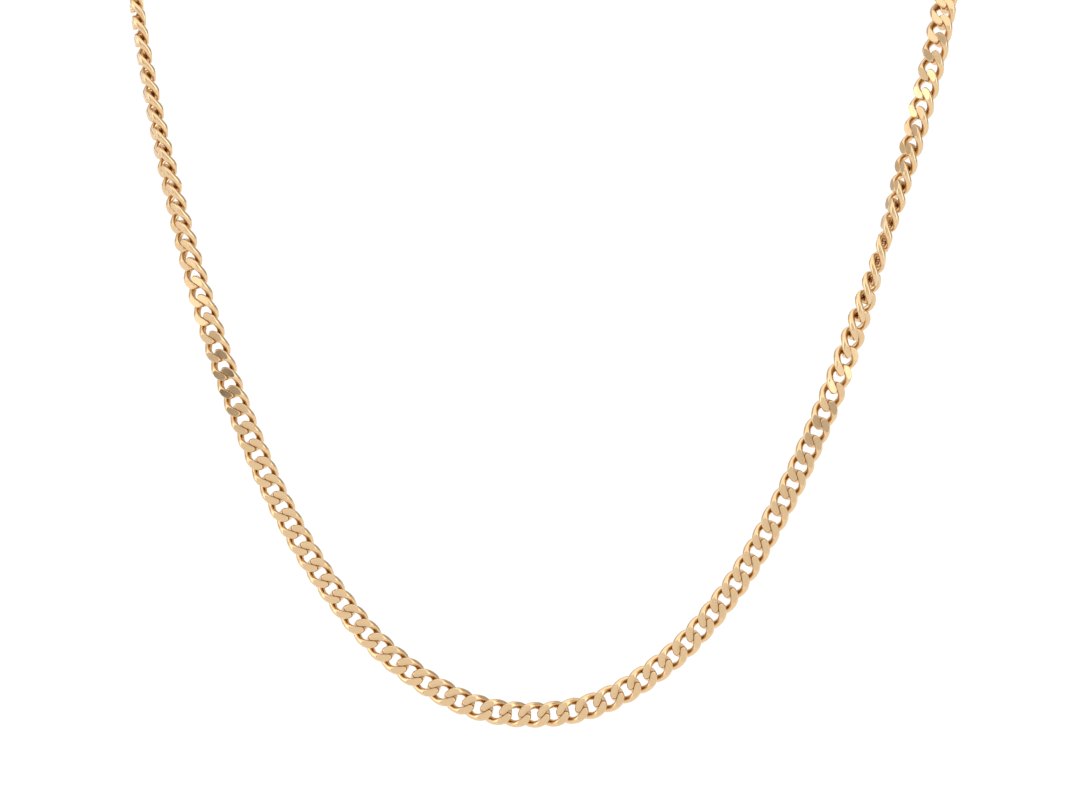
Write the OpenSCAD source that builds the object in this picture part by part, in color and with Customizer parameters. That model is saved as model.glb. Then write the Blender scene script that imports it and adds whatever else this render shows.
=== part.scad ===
// A closed necklace of curb chain. Every link is an oval ring of round wire,
// bent so that it lies flat against its neighbours, and pressed flat on both
// faces. The front hangs in a deep U, and the rest goes round the neck to the
// clasp at the nape. The origin is the middle of the neck, and Z points up.

/* [Link] */
// Distance from the middle of one link to the middle of the next
link_pitch = 2.8; // [2.6:0.05:3.2]
// Width of the chain, measured across the flat face
link_w = 3.8; // [3.6:0.02:4.2]
// Thickness of the wire that the links are bent from
wire_d = 0.88; // [0.8:0.01:0.9]
// Thickness of the chain between its two pressed faces
chain_t = 1.88; // [1.7:0.02:2]
// Play along the chain between one link's end and the next link's end
end_gap = 0.19; // [0.19:0.01:0.4]
// How far the wire's middle stands forward, or back, on each nose of a link
nose_rise = 0.75; // [0.7:0.01:0.8]

/* [Loop] */
// Width of the whole loop, between the middles of the chain's two sides
loop_w = 120.8; // [110:0.5:132]

/* [Clasp] */
// Length of the clasp, from the middle of one end ring's outer wire to the other's
clasp_len = 12; // [11:0.5:16]
// Width of the claw
claw_w = 4.6; // [4.2:0.1:6]
// Thickness of the claw
claw_t = 2; // [1.8:0.1:2.4]
// Width of the window through the claw
window_w = 1.9; // [1.6:0.1:2.2]
// Wall between the window and the claw's tip
tip_wall = 1.1; // [1:0.1:1.4]
// Width of the claw's tail, where the ring is soldered on
tail_w = 2.4; // [2:0.1:3]
// Thickness of the wire of the two end rings
ring_wire_d = 0.95; // [0.85:0.05:1.1]
// Hole through each end ring
ring_hole_d = 2.4; // [2.3:0.1:2.8]

/* [Pose] */
// How far the plane of the U leans back from upright, in degrees
plane_tilt = 15; // [0:1:30]

/* [Hidden] */

$fn = 48;
gold = [0.86, 0.66, 0.42];

// The chain's way round, from the clasp's left ring down the left side, along
// the U and up the right side. Each row is across, back and up in the plane of
// the U from the lowest link, then the way the flat face looks, as degrees
// round from the front towards the right.
ROUTE = [
    [-22.8, 52.1, 126.4, -168],
    [-36.8, 47.5, 125.6, -153],
    [-48.5, 39.6, 124.4, -134],
    [-56.8, 29.0, 122.6, -112],
    [-60.2, 17.2, 119.2, -95],
    [-60.3, 7.0, 111.1, -86],
    [-58.4, 1.0, 99.4, -79],
    [-55.8, 0.0, 86.0, -68],
    [-52.5, 0.0, 72.0, -52],
    [-48.6, 0.0, 58.0, -26],
    [-43.9, 0.0, 44.3, -13],
    [-38.2, 0.0, 31.1, -1],
    [-30.8, 0.0, 18.6, 0],
    [-21.2, 0.0, 7.8, 0],
    [-8.4, 0.0, 0.6, 0],
    [6.1, 0.0, 0.6, 0],
    [18.5, 0.0, 7.5, 0],
    [28.1, 0.0, 18.2, 0],
    [35.5, 0.0, 30.8, 0],
    [41.6, 0.0, 44.1, 9],
    [46.6, 0.0, 57.7, 52],
    [51.0, 0.0, 71.6, 96],
    [54.9, 0.0, 85.5, 133],
    [58.3, 1.0, 99.3, 168],
    [60.5, 7.0, 111.1, 208],
    [60.3, 17.2, 119.2, 255],
    [56.8, 29.0, 122.6, 292],
    [48.5, 39.6, 124.4, 315],
    [36.8, 47.5, 125.6, 332],
    [22.8, 52.1, 126.4, 347]
];
// How much wider the loop is than in the route
loop_scale = loop_w / (max([for (row = ROUTE) row[0]]) - min([for (row = ROUTE) row[0]]));
// Where the clasp sits, as back and up in the plane of the U
clasp_seat = loop_scale * [53.5, 126.6];
// The middle of the neck, as back and up in the plane of the U
neck_middle = loop_scale * [28.0, 116.0];
// How many straight steps each stretch of the route is cut into
stretch_steps = 12;

// A link has ten sections, two on each of its four noses and one at each end,
// and its wire has five sides, one of them flat along the pressed face
wire_sides = 5;
end_turn = 15;
arch_turn = 16;
section_turns = [for (quarter = [0, 180])
    for (turn = [0, end_turn, 90 - arch_turn, 90 + arch_turn, 180 - end_turn])
    quarter + turn];

// How pointed the link's ends are, how suddenly its wire dives from face to face
// at an end, and how gently it does so along a side
end_fullness = 1.09;
end_dive = 5;
side_dive = 1.9;

// Radius of the five-sided wire, whose height from flat to ridge is the wire's thickness
wire_r = wire_d / (1 + cos(180 / wire_sides));
// Half length and half width of the wire's middle line
half_long = (link_pitch + wire_d + end_gap) / 2;
half_wide = (link_w / 2 - 0.94 * wire_r) / pow(cos(arch_turn), end_fullness);

function unit(v) = v / norm(v);
function tanh(x) = (exp(2 * x) - 1) / (exp(2 * x) + 1);

// The wire's middle line at one turn, and the way it runs there
function middle_line(turn) =
    let (swing = sin(turn))
    [half_long * cos(turn),
        half_wide * sign(swing) * pow(abs(swing), end_fullness),
        -nose_rise * tanh(end_dive * swing) * tanh(side_dive * cos(turn)) / tanh(side_dive)];
function wire_way(turn) = unit(middle_line(turn + 0.01) - middle_line(turn - 0.01));

// One section of the wire. Its flat side looks outwards on each nose, and
// whatever stands past the pressed faces is brought back to them.
function section(turn) =
    let (way = wire_way(turn),
        over = unit([0, 0, 1] - way[2] * way),
        beside = cross(way, over),
        first = 180 / wire_sides * (1 - sin(2 * turn)) / 2)
    [for (side = [0 : wire_sides - 1])
        let (angle = first + 360 / wire_sides * side,
            p = middle_line(turn) + wire_r * (cos(angle) * over + sin(angle) * beside))
        [p[0], p[1], max(-chain_t / 2, min(chain_t / 2, p[2]))]];

link_points = [for (turn = section_turns) each section(turn)];
link_faces = [for (s = [0 : len(section_turns) - 1])
    for (side = [0 : wire_sides - 1])
    let (next_s = (s + 1) % len(section_turns),
        next_side = (side + 1) % wire_sides,
        a = s * wire_sides + side,
        b = s * wire_sides + next_side,
        c = next_s * wire_sides + next_side,
        d = next_s * wire_sides + side)
    each [[a, c, b], [a, d, c]]];

// How far the middle of an end link lies from the outer wire of the clasp's ring
link_from_ring = half_long - wire_r - end_gap - ring_wire_d / 2;
first_link = [-clasp_len / 2 - link_from_ring, clasp_seat[0], clasp_seat[1], -180];
last_link = [clasp_len / 2 + link_from_ring, clasp_seat[0], clasp_seat[1], 360];

// The route at its real width with its two end links, and one more point past
// each to steer by
wide_route = [for (row = ROUTE)
    [loop_scale * row[0], loop_scale * row[1], loop_scale * row[2], row[3]]];
knots = concat([[0, clasp_seat[0], clasp_seat[1], -190]], [first_link], wide_route,
    [last_link], [[0, clasp_seat[0], clasp_seat[1], 370]]);

// A smooth curve through the middle two of four points
function through(p, t) =
    (2 * p[1] + (p[2] - p[0]) * t
        + (2 * p[0] - 5 * p[1] + 4 * p[2] - p[3]) * pow(t, 2)
        + (3 * p[1] - p[0] - 3 * p[2] + p[3]) * pow(t, 3)) / 2;
trail = [for (k = [1 : len(knots) - 3])
    for (j = [k == 1 ? 0 : 1 : stretch_steps])
    through([for (m = [-1 : 2]) knots[k + m]], j / stretch_steps)];

function spot(row) = [row[0], row[1], row[2]];
// How far along the chain each point of the trail lies
along = [for (i = 0, s = 0; i < len(trail);
        s = s + (i + 1 < len(trail) ? norm(spot(trail[i + 1]) - spot(trail[i])) : 0), i = i + 1) s];
function trail_column(c) = [for (i = [0 : len(trail) - 1]) [along[i], trail[i][c]]];
columns = [for (c = [0 : 3]) trail_column(c)];
function spot_at(s) = [for (c = [0 : 2]) lookup(s, columns[c])];

trail_len = along[len(along) - 1];
link_steps = round(trail_len / link_pitch);
step_len = trail_len / link_steps;
last_left = floor(link_steps / 2);

// Where link number i sits: its long way follows the chain, and its flat face
// looks the way that the route's rows say
function link_place(i) =
    let (s = i * step_len,
        way = unit(spot_at(s + step_len / 2) - spot_at(s - step_len / 2)),
        turn = lookup(s, columns[3]),
        look = [sin(turn), -cos(turn), 0],
        face = unit(look - (look * way) * way),
        beside = cross(face, way),
        p = spot_at(s))
    [for (r = [0 : 2]) [way[r], beside[r], face[r], p[r]]];

// Leans the plane of the U back, and brings the middle of the neck to the origin
module worn() {
    rotate([-plane_tilt, 0, 0])
        translate([0, -neck_middle[0], -neck_middle[1]])
            children();
}

module chain(from, to) {
    color(gold)
        worn()
            for (i = [from : to])
                multmatrix(link_place(i))
                    polyhedron(link_points, link_faces, convexity = 4);
}

module chain_left() {
    chain(0, last_left);
}

module chain_right() {
    chain(last_left + 1, link_steps);
}

// The claw's round tip reaches past the window, and its tail narrows to the ring
tip_x = clasp_len / 2 - ring_hole_d - ring_wire_d + tip_wall;
ring_r = (ring_hole_d + ring_wire_d) / 2;
tail_x = -clasp_len / 2 + 2 * ring_r;
// How far the rings turn to lie square to the wire at the end of a link
ring_lean = 50;

// A ring with its outer wire at the clasp's end, turned square to the wire of
// the link that goes through it
module end_ring(side) {
    translate([side * (clasp_len / 2 - ring_r), 0, 0])
        rotate([side * ring_lean, 0, 0])
            rotate_extrude()
                translate([ring_r, 0])
                    circle(d = ring_wire_d);
}

// A round tip and a round tail, joined by two straight edges that touch both
module claw_outline() {
    tip_r = claw_w / 2;
    tail_r = tail_w / 2;
    tip_c = tip_x - tip_r;
    tail_c = tail_x + tail_r;
    lean = asin((tip_r - tail_r) / (tip_c - tail_c));
    edge = [-sin(lean), cos(lean)];
    translate([tip_c, 0]) circle(r = tip_r);
    translate([tail_c, 0]) circle(r = tail_r);
    polygon([
        [tip_c, 0] + tip_r * edge,
        [tail_c, 0] + tail_r * edge,
        [tail_c, 0] + tail_r * [edge[0], -edge[1]],
        [tip_c, 0] + tip_r * [edge[0], -edge[1]]
    ]);
}

module clasp() {
    window_r = window_w / 2;
    window_right = tip_x - tip_wall - window_r;
    window_left = tip_x - claw_w / 2 - window_r;
    color(gold)
        worn()
            translate([0, clasp_seat[0], clasp_seat[1]])
                union() {
                    end_ring(-1);
                    end_ring(1);
                    rotate([90, 0, 0])
                        difference() {
                            linear_extrude(claw_t, center = true)
                                claw_outline();
                            linear_extrude(2 * claw_t, center = true) {
                                translate([window_left, 0]) circle(r = window_r);
                                translate([window_right, 0]) circle(r = window_r);
                                translate([(window_left + window_right) / 2, 0])
                                    square([window_right - window_left, window_w], center = true);
                            }
                        }
                }
}

chain_left();
chain_right();
clasp();
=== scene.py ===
# %% [markdown]
# # A curb chain necklace of polished gold
# This file dresses a necklace whose construction already exists as a CAD model.
# The necklace is a closed loop: 159 links of curb chain and one plain claw clasp
# at the nape. The front hangs in a deep U, as it would on a neck.
# We keep every link where the CAD model has it, and give it the round wire, the
# filed faces and the warm polish that the plain solids leave out.

# %% Load the frame
import math

import bmesh
import bpy
import numpy
from mathutils import Matrix, Vector


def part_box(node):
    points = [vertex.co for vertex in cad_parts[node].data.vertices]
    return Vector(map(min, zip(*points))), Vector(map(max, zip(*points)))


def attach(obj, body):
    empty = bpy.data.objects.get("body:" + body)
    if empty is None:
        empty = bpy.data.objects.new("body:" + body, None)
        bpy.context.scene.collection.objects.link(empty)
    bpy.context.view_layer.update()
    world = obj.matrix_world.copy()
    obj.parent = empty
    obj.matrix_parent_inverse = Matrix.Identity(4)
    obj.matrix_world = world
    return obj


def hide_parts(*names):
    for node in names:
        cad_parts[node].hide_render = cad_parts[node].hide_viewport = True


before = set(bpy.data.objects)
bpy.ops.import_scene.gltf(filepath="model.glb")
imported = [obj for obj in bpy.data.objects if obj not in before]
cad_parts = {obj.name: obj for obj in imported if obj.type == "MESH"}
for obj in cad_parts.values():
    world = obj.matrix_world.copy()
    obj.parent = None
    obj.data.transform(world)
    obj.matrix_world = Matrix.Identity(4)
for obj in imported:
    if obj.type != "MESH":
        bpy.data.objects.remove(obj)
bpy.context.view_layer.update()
mm = 0.001


# %% [markdown]
# ## Small helpers
# Blender's operators act on whatever is selected, so each step starts from an
# empty selection. Three more helpers apply a thing's modifiers, mend a mesh and
# count its triangles.

# %% Selecting in code
def select_nothing():
    if bpy.context.object and bpy.context.object.mode != "OBJECT":
        bpy.ops.object.mode_set(mode="OBJECT")
    bpy.ops.object.select_all(action="DESELECT")


def select_only(*objects):
    select_nothing()
    for thing in objects:
        thing.select_set(True)
    bpy.context.view_layer.objects.active = objects[0]


def apply_modifiers(thing):
    select_only(thing)
    for modifier in list(thing.modifiers):
        bpy.ops.object.modifier_apply(modifier=modifier.name)


def mend_mesh(thing, reach):
    """Merges doubles closer than reach and turns every face outwards."""
    select_only(thing)
    bpy.ops.object.mode_set(mode="EDIT")
    bpy.ops.mesh.select_all(action="SELECT")
    bpy.ops.mesh.remove_doubles(threshold=reach)
    bpy.ops.mesh.normals_make_consistent(inside=False)
    bpy.ops.object.mode_set(mode="OBJECT")


def triangles(thing):
    return sum(len(face.vertices) - 2 for face in thing.data.polygons)


# %% [markdown]
# ## Where each link lies
# The CAD chain is a string of separate solids. A copy of each chain node is
# merged and read island by island. A link looks the same after half a turn about
# any of its three axes, so its middle and its three main directions are all that
# is needed to put a finer link in the same place.

# %% Read the links from the frame
def islands_of(node):
    """The vertices of each separate solid in a CAD node, as one array each."""
    copy = bmesh.new()
    copy.from_mesh(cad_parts[node].data)
    bmesh.ops.remove_doubles(copy, verts=copy.verts, dist=0.001 * mm)
    found = []
    seen = set()
    for start in copy.verts:
        if start in seen:
            continue
        seen.add(start)
        waiting = [start]
        island = []
        while waiting:
            vertex = waiting.pop()
            island.append(vertex.co[:])
            for edge in vertex.link_edges:
                other = edge.other_vert(vertex)
                if other not in seen:
                    seen.add(other)
                    waiting.append(other)
        found.append(numpy.array(island))
    copy.free()
    return found


def link_pose(points):
    """A matrix whose X runs along the link, Y across it and Z out of its flat face."""
    middle = points.mean(axis=0)
    spread, ways = numpy.linalg.eigh(numpy.cov((points - middle).T))
    along, across, out = ways[:, 2], ways[:, 1], ways[:, 0]
    if numpy.linalg.det(numpy.array([along, across, out])) < 0:
        out = -out
    pose = Matrix.Identity(4)
    for column, axis in enumerate((along, across, out, middle)):
        for row in range(3):
            pose[row][column] = axis[row]
    return pose


chain_nodes = ("chain_left", "chain_right")
link_poses = {node: [link_pose(points) for points in islands_of(node)] for node in chain_nodes}
print("links:", {node: len(poses) for node, poses in link_poses.items()})


# %% [markdown]
# ## Gold
# The necklace is warm, slightly pink gold. Polished metal takes its look from
# what it reflects, so its own texture is faint: a slow change of roughness where
# the polish has worn, and a fine grain that breaks the reflections up. The filed
# faces of a curb chain are a little smoother than the round wire, and their grain
# is finer. Deep between two links the metal gets a painted shade, dull and brown,
# where the links shade each other.

# %% Gold finishes
gold_colour = (0.81, 0.582, 0.345, 1)
worn_gold_colour = (0.762, 0.534, 0.295, 1)
# Dark brown painted shade, laid where two links meet
crevice_shade_colour = (0.21, 0.1, 0.04, 1)
shade_name = "crevice_shade"
wear_patch = 3 * mm


def gold_finish(name, smoothest, roughest, grain_size, grain_depth):
    """Polished gold whose grain is grain_size across and whose polish wears in patches."""
    finish = bpy.data.materials.new(name)
    finish.use_nodes = True
    nodes = finish.node_tree.nodes
    links = finish.node_tree.links
    metal = nodes["Principled BSDF"]
    metal.inputs["Metallic"].default_value = 1
    place = nodes.new("ShaderNodeTexCoord")
    wear = nodes.new("ShaderNodeTexNoise")
    wear.inputs["Scale"].default_value = 1 / wear_patch
    wear.inputs["Detail"].default_value = 3
    links.new(place.outputs["Object"], wear.inputs["Vector"])
    dullness = nodes.new("ShaderNodeMapRange")
    dullness.inputs["From Min"].default_value = 0.3
    dullness.inputs["From Max"].default_value = 0.7
    dullness.inputs["To Min"].default_value = smoothest
    dullness.inputs["To Max"].default_value = roughest
    links.new(wear.outputs["Fac"], dullness.inputs["Value"])
    links.new(dullness.outputs["Result"], metal.inputs["Roughness"])
    tone = nodes.new("ShaderNodeMix")
    tone.data_type = "RGBA"
    tone.inputs["A"].default_value = gold_colour
    tone.inputs["B"].default_value = worn_gold_colour
    links.new(wear.outputs["Fac"], tone.inputs["Factor"])
    # The crevice attribute blends the colour towards dark brown: painted shade between the links
    crevice_shade = nodes.new("ShaderNodeAttribute")
    crevice_shade.attribute_name = shade_name
    painted_shade = nodes.new("ShaderNodeMix")
    painted_shade.data_type = "RGBA"
    painted_shade.inputs["B"].default_value = crevice_shade_colour
    links.new(crevice_shade.outputs["Fac"], painted_shade.inputs["Factor"])
    links.new(tone.outputs["Result"], painted_shade.inputs["A"])
    links.new(painted_shade.outputs["Result"], metal.inputs["Base Color"])
    grain = nodes.new("ShaderNodeTexNoise")
    grain.inputs["Scale"].default_value = 1 / grain_size
    grain.inputs["Detail"].default_value = 2
    links.new(place.outputs["Object"], grain.inputs["Vector"])
    relief = nodes.new("ShaderNodeBump")
    relief.inputs["Strength"].default_value = 1
    relief.inputs["Distance"].default_value = grain_depth
    links.new(grain.outputs["Fac"], relief.inputs["Height"])
    links.new(relief.outputs["Normal"], metal.inputs["Normal"])
    return finish


wire_gold = gold_finish("wire_gold", 0.16, 0.26, 0.25 * mm, 0.006 * mm)
filed_gold = gold_finish("filed_gold", 0.15, 0.22, 0.12 * mm, 0.004 * mm)
print("finishes:", [finish.name for finish in (wire_gold, filed_gold)])


# %% [markdown]
# ## One link
# The wire of a curb link runs along one face of the chain, dives to the other
# face round each end, and crosses back half way along each side. That is how
# the next link can lie flat inside it. The link then goes through a press, which
# spreads the wire a little at its four high places, and a file takes both faces
# flat. We do the same: the points of a Bezier circle with a round bevel are moved
# to the wire's path one by one, the mesh is spread where it is high, and two
# bisecting planes file it.

# %% Sizes of the link
link_points = islands_of("chain_left")[0]
local = (link_pose(link_points).inverted().to_3x3() @ Vector(p) for p in link_points)
local = numpy.array([p[:] for p in local])
link_size = (local.max(axis=0) - local.min(axis=0)) / mm
chain_thickness = 1.88 * mm
wire_radius = 0.485 * mm
# Half length and half width of the wire's middle line, and its height on a face
half_long = 1.91 * mm
half_wide = 1.375 * mm
wire_rise = 0.745 * mm
# How suddenly the wire changes face at an end and along a side
end_dive = 4
side_dive = 1.9
# How pointed the ends are, and how much thicker the wire is along the sides
end_fullness = 1.35
side_swell = 0.06
# How much the press widens the wire on its high places
press_spread = 0.2
# Sections of the wire, and how far they move together where it bends most
link_sections = 36
crowding = 0.1
edge_round = 0.035 * mm
smooth_angle = math.radians(40)
print("CAD link in mm:", link_size.round(3), "filed to", round(chain_thickness / mm, 3))


# %% Bend, press and file one link
def wire_at(turn):
    """The middle of the wire, turn radians round the link from its right end."""
    swing = math.sin(turn)
    along_side = math.tanh(side_dive * math.cos(turn)) / math.tanh(side_dive)
    return Vector((
        half_long * math.cos(turn),
        half_wide * math.copysign(abs(swing) ** end_fullness, swing),
        -wire_rise * math.tanh(end_dive * swing) * along_side,
    ))


def bend_link():
    """A ring of round wire, each of its points moved to its place on the link."""
    select_nothing()
    bpy.ops.curve.primitive_bezier_circle_add(radius=half_wide)
    ring = bpy.context.object
    ring.data.bevel_depth = wire_radius
    ring.data.bevel_resolution = 5
    bpy.ops.object.mode_set(mode="EDIT")
    bpy.ops.curve.select_all(action="SELECT")
    bpy.ops.curve.spline_type_set(type="POLY")
    bpy.ops.curve.subdivide(number_cuts=link_sections // 4 - 1)
    bpy.ops.object.mode_set(mode="OBJECT")
    points = ring.data.splines[0].points
    for number, point in enumerate(points):
        turn = 2 * math.pi * number / len(points)
        turn -= crowding * math.sin(4 * turn)
        point.co = wire_at(turn).to_4d()
        point.radius = 1 + side_swell * math.sin(turn) ** 2
    bpy.ops.object.convert(target="MESH")
    return bpy.context.object


def press_wire(link):
    """Spreads the wire sideways where the press has flattened it, at its high places."""
    corners = link.data.vertices
    around = len(corners) // link_sections
    for first in range(0, len(corners), around):
        section = [corners[i] for i in range(first, first + around)]
        middle = sum((corner.co for corner in section), Vector()) / around
        spread = 1 + press_spread * min(1, abs(middle.z) / wire_rise) ** 2
        for corner in section:
            corner.co.x = middle.x + spread * (corner.co.x - middle.x)
            corner.co.y = middle.y + spread * (corner.co.y - middle.y)


def file_flat(link):
    """Cuts both faces of the link flat, chain_thickness apart."""
    select_only(link)
    bpy.ops.object.mode_set(mode="EDIT")
    for side in (1, -1):
        bpy.ops.mesh.select_all(action="SELECT")
        bpy.ops.mesh.bisect(
            plane_co=(0, 0, side * chain_thickness / 2),
            plane_no=(0, 0, side),
            clear_outer=True,
            use_fill=True,
            threshold=0.0001 * mm,
        )
    bpy.ops.object.mode_set(mode="OBJECT")


link = bend_link()
link.name = "link_pattern"
press_wire(link)
file_flat(link)
soften = link.modifiers.new("soften", "BEVEL")
soften.width = edge_round
soften.segments = 1
soften.limit_method = "ANGLE"
soften.angle_limit = math.radians(32)
apply_modifiers(link)
mend_mesh(link, 0.001 * mm)
print("link:", triangles(link), "triangles,", [round(d / mm, 2) for d in link.dimensions], "mm")


# %% [markdown]
# The filed faces get their own finish, and every vertex gets a painted shade that
# says how deep it sits between two links: most at the inside of both ends. The
# wire is shaded smooth and the filed faces flat, so that each of them catches the
# light as a small mirror does.

# %% Finish the link
inside_reach = 1.4


def paint_crevice_shade(thing):
    """Stores how much painted shade each vertex gets, from 0 in the open to 1 where two links
    meet.
    """
    shade = thing.data.attributes.new(shade_name, "FLOAT", "POINT")
    normals = [Vector(v.normal) for v in thing.data.vertices]
    for vertex, normal in zip(thing.data.vertices, normals):
        x, y, z = vertex.co
        inward = -(normal.x * x / half_long + normal.y * y / half_wide) / math.hypot(
            x / half_long, y / half_wide
        )
        end = min(1, abs(x) / half_long)
        facing = max(0, min(1, inward * inside_reach))
        shade.data[vertex.index].value = facing * end**2


def is_filed(face):
    """Whether a face lies in one of the two planes that the file has cut."""
    from_plane = abs(abs(face.center.z) - chain_thickness / 2)
    return abs(face.normal.z) > 0.999 and from_plane < 0.01 * mm


paint_crevice_shade(link)
select_only(link)
bpy.ops.object.shade_smooth_by_angle(angle=smooth_angle)
link.data.materials.append(wire_gold)
link.data.materials.append(filed_gold)
for face in link.data.polygons:
    if is_filed(face):
        face.material_index = 1
        face.use_smooth = False


# %% [markdown]
# ## The chain
# Each link of the CAD chain gets a copy of the finished link, with a mesh of its
# own, and the copies of one half are joined into one piece.

# %% Lay the links
def lay_links(name, poses):
    copies = []
    for pose in poses:
        copy = link.copy()
        copy.data = link.data.copy()
        bpy.context.collection.objects.link(copy)
        copy.data.transform(pose)
        copies.append(copy)
    select_only(*copies)
    bpy.ops.object.join()
    strand = bpy.context.object
    strand.name = name
    return strand


for node in chain_nodes:
    strand = lay_links(node + "_links", link_poses[node])
    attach(strand, "root")
    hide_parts(node)
    print(strand.name, triangles(strand), "triangles")
bpy.data.objects.remove(link)


# %% [markdown]
# ## The clasp
# The two ends of the chain meet at the nape in a claw clasp: a flat drop-shaped
# claw with a window through it, and a ring at each end that holds the last link.
# The photograph doesn't show it, so it is kept plain. We model the drop as one
# disc whose left half is drawn out into the narrow tail.

# %% Sizes of the clasp
clasp_low, clasp_high = (Vector(corner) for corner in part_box("clasp"))
clasp_middle = (clasp_low + clasp_high) / 2
clasp_length = 12 * mm
claw_thickness = 2 * mm
tip_radius = 2.3 * mm
tail_radius = 1.2 * mm
window_radius = 0.95 * mm
tip_wall = 1.1 * mm
claw_edge_round = 0.42 * mm
ring_wire_radius = 0.475 * mm
ring_radius = 1.675 * mm
tip_end = clasp_length / 2 - 2 * ring_radius + tip_wall
tail_end = -clasp_length / 2 + 2 * ring_radius
# How far the necklace leans back, and the rings turn to lie square to the links
necklace_lean = math.radians(15)
ring_turn = math.radians(50)
print("clasp in mm:", [round(c / mm, 2) for c in clasp_high - clasp_low])


# %% A slab with two round ends
def round_slab(right, right_radius, left, left_radius, thickness):
    """A flat plate lying in X and Z, its round ends centred at right and left."""
    select_nothing()
    bpy.ops.mesh.primitive_circle_add(
        vertices=48,
        radius=right_radius,
        fill_type="NGON",
        location=(right, thickness / 2, 0),
        rotation=(math.pi / 2, 0, 0),
    )
    slab = bpy.context.object
    bpy.ops.object.transform_apply(location=True, rotation=True, scale=True)
    bpy.ops.object.mode_set(mode="EDIT")
    bpy.ops.mesh.select_mode(type="VERT")
    bpy.ops.mesh.select_all(action="DESELECT")
    bpy.ops.object.mode_set(mode="OBJECT")
    for vertex in slab.data.vertices:
        vertex.select = vertex.co.x < right - 0.001 * mm
    bpy.ops.object.mode_set(mode="EDIT")
    ratio = left_radius / right_radius
    bpy.ops.transform.resize(value=(ratio, 1, ratio), center_override=(right, 0, 0))
    bpy.ops.transform.translate(value=(left - right, 0, 0))
    bpy.ops.mesh.select_all(action="SELECT")
    bpy.ops.mesh.extrude_region_move(TRANSFORM_OT_translate={"value": (0, -thickness, 0)})
    bpy.ops.mesh.select_all(action="SELECT")
    bpy.ops.mesh.normals_make_consistent(inside=False)
    bpy.ops.object.mode_set(mode="OBJECT")
    return slab


claw = round_slab(
    tip_end - tip_radius, tip_radius, tail_end + tail_radius, tail_radius, claw_thickness
)
window = round_slab(
    tip_end - tip_wall - window_radius,
    window_radius,
    tip_end - tip_radius - window_radius,
    window_radius,
    2 * claw_thickness,
)
cut = claw.modifiers.new("window", "BOOLEAN")
cut.operation = "DIFFERENCE"
cut.solver = "EXACT"
cut.object = window
apply_modifiers(claw)
bpy.data.objects.remove(window)
round_edges = claw.modifiers.new("round_edges", "BEVEL")
round_edges.width = claw_edge_round
round_edges.segments = 5
round_edges.limit_method = "ANGLE"
round_edges.angle_limit = smooth_angle
apply_modifiers(claw)
print("claw:", triangles(claw), "triangles")


# %% The two rings
rings = []
for side in (-1, 1):
    select_nothing()
    bpy.ops.mesh.primitive_torus_add(
        location=(side * (clasp_length / 2 - ring_radius), 0, 0),
        major_radius=ring_radius,
        minor_radius=ring_wire_radius,
        major_segments=64,
        minor_segments=20,
        rotation=(side * ring_turn, 0, 0),
    )
    rings.append(bpy.context.object)
select_only(claw, *rings)
bpy.ops.object.transform_apply(location=True, rotation=True, scale=True)
bpy.ops.object.join()
clasp_piece = bpy.context.object
clasp_piece.name = "claw_clasp"
lean_back = Matrix.Translation(clasp_middle) @ Matrix.Rotation(-necklace_lean, 4, "X")
clasp_piece.data.transform(lean_back)
mend_mesh(clasp_piece, 0.001 * mm)
clasp_piece.data.materials.append(wire_gold)
clasp_piece.data.attributes.new(shade_name, "FLOAT", "POINT")
select_only(clasp_piece)
bpy.ops.object.shade_smooth_by_angle(angle=smooth_angle)
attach(clasp_piece, "root")
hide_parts("clasp")
clasp_size = [round(d / mm, 2) for d in clasp_piece.dimensions]
print("clasp:", triangles(clasp_piece), "triangles,", clasp_size, "mm")


# %% [markdown]
# ## The camera
# The photograph looks straight at the U, which leans back as it does on a chest,
# so the camera looks down by the same angle.

# %% Place the camera
view_centre = Vector((0, -45.45, -61.43)) * mm
view_distance = 437.4 * mm
camera = bpy.data.objects.new("camera", bpy.data.cameras.new("camera"))
bpy.context.collection.objects.link(camera)
camera.data.lens = 100
camera.data.sensor_width = 36
towards_viewer = Vector((0, -math.cos(necklace_lean), math.sin(necklace_lean)))
camera.location = view_centre + view_distance * towards_viewer
camera.rotation_euler = (math.pi / 2 - necklace_lean, 0, 0)
bpy.context.scene.camera = camera
print("camera at", [round(c, 3) for c in camera.location])


# %% [markdown]
# ## Floor and light
# Polished metal shows the room round it, so the light is a studio painted as a
# ring of bright and dark walls: a colour ramp over the direction, seen by the
# chain from all sides. Two bright walls at the left and the right give the
# highlights, the dark gaps beside them draw the edges of each link, and a ceiling
# lights them from above. Behind the chain the wall is plain and nearly white.

# %% Stage
select_nothing()
floor_height = -420 * mm
bpy.ops.mesh.primitive_plane_add(size=8, location=(0, 0, floor_height))
floor = bpy.context.object
floor.name = "floor"
floor_paint = bpy.data.materials.new("floor_paint")
floor_paint.use_nodes = True
paint = floor_paint.node_tree.nodes["Principled BSDF"]
paint.inputs["Base Color"].default_value = (0.93, 0.93, 0.93, 1)
paint.inputs["Roughness"].default_value = 0.9
floor.data.materials.append(floor_paint)

studio = bpy.data.worlds.new("studio")
bpy.context.scene.world = studio
studio.use_nodes = True
nodes = studio.node_tree.nodes
links = studio.node_tree.links
brightest = 3.0
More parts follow.
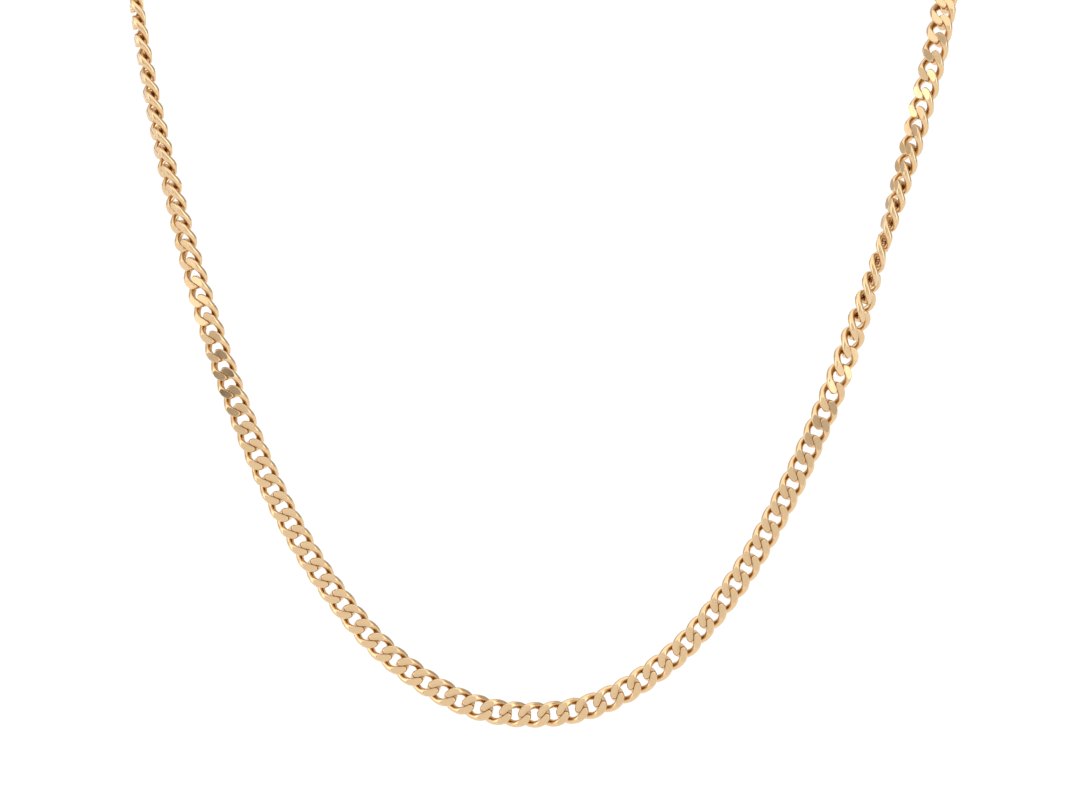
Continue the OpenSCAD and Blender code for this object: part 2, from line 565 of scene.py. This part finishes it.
# How bright the studio is at each direction round the chain, in degrees; 0 is
# towards the viewer, and 90 is on the viewer's right
walls = (
    (-180, 0.9), (-150, 0.7), (-140, 0.7), (-95, 0.7), (-86, 1.9), (-58, 1.9),
    (-50, 0.9), (-43, 0.8), (-38, 0.15), (-32, 0.15), (-27, 1.0), (4, 1.0),
    (9, 0.85), (14, 0.55), (22, 0.55), (30, 1.0), (44, 2.0), (66, 2.0), (76, 0.5),
    (140, 0.5), (150, 0.6), (180, 0.9),
)
# How bright the ceiling is, and between which heights the walls pass into it
ceiling = 1.4
ceiling_from = math.radians(38)
ceiling_to = math.radians(58)


def maths(operation, first, second=None):
    """A math node fed by a socket or a number on each side."""
    node = nodes.new("ShaderNodeMath")
    node.operation = operation
    for socket, value in zip(node.inputs, (first, second)):
        if hasattr(value, "links"):
            links.new(value, socket)
        elif value is not None:
            socket.default_value = value
    return node.outputs[0]


looking = nodes.new("ShaderNodeSeparateXYZ")
links.new(nodes.new("ShaderNodeTexCoord").outputs["Generated"], looking.inputs[0])
round_angle = maths("ARCTAN2", looking.outputs["X"], maths("MULTIPLY", looking.outputs["Y"], -1.0))
wall_place = maths("ADD", maths("DIVIDE", round_angle, 2 * math.pi), 0.5)
wall_light = nodes.new("ShaderNodeValToRGB")
steps = wall_light.color_ramp.elements
while len(steps) < len(walls):
    steps.new(0.5)
for step, (angle, brightness) in zip(steps, walls):
    step.position = angle / 360 + 0.5
    step.color = (brightness / brightest,) * 3 + (1,)
links.new(wall_place, wall_light.inputs["Fac"])
height = nodes.new("ShaderNodeMapRange")
height.interpolation_type = "SMOOTHSTEP"
height.inputs["From Min"].default_value = math.sin(ceiling_from)
height.inputs["From Max"].default_value = math.sin(ceiling_to)
links.new(looking.outputs["Z"], height.inputs["Value"])
room = nodes.new("ShaderNodeMix")
room.data_type = "RGBA"
room.inputs["B"].default_value = (ceiling / brightest,) * 3 + (1,)
links.new(height.outputs["Result"], room.inputs["Factor"])
links.new(wall_light.outputs["Color"], room.inputs["A"])
background = nodes["Background"]
links.new(room.outputs["Result"], background.inputs["Color"])
background.inputs["Strength"].default_value = brightest
print("studio walls:", len(walls), "steps of brightness")


# %% View and finish
bpy.context.scene.view_settings.view_transform = "Standard"
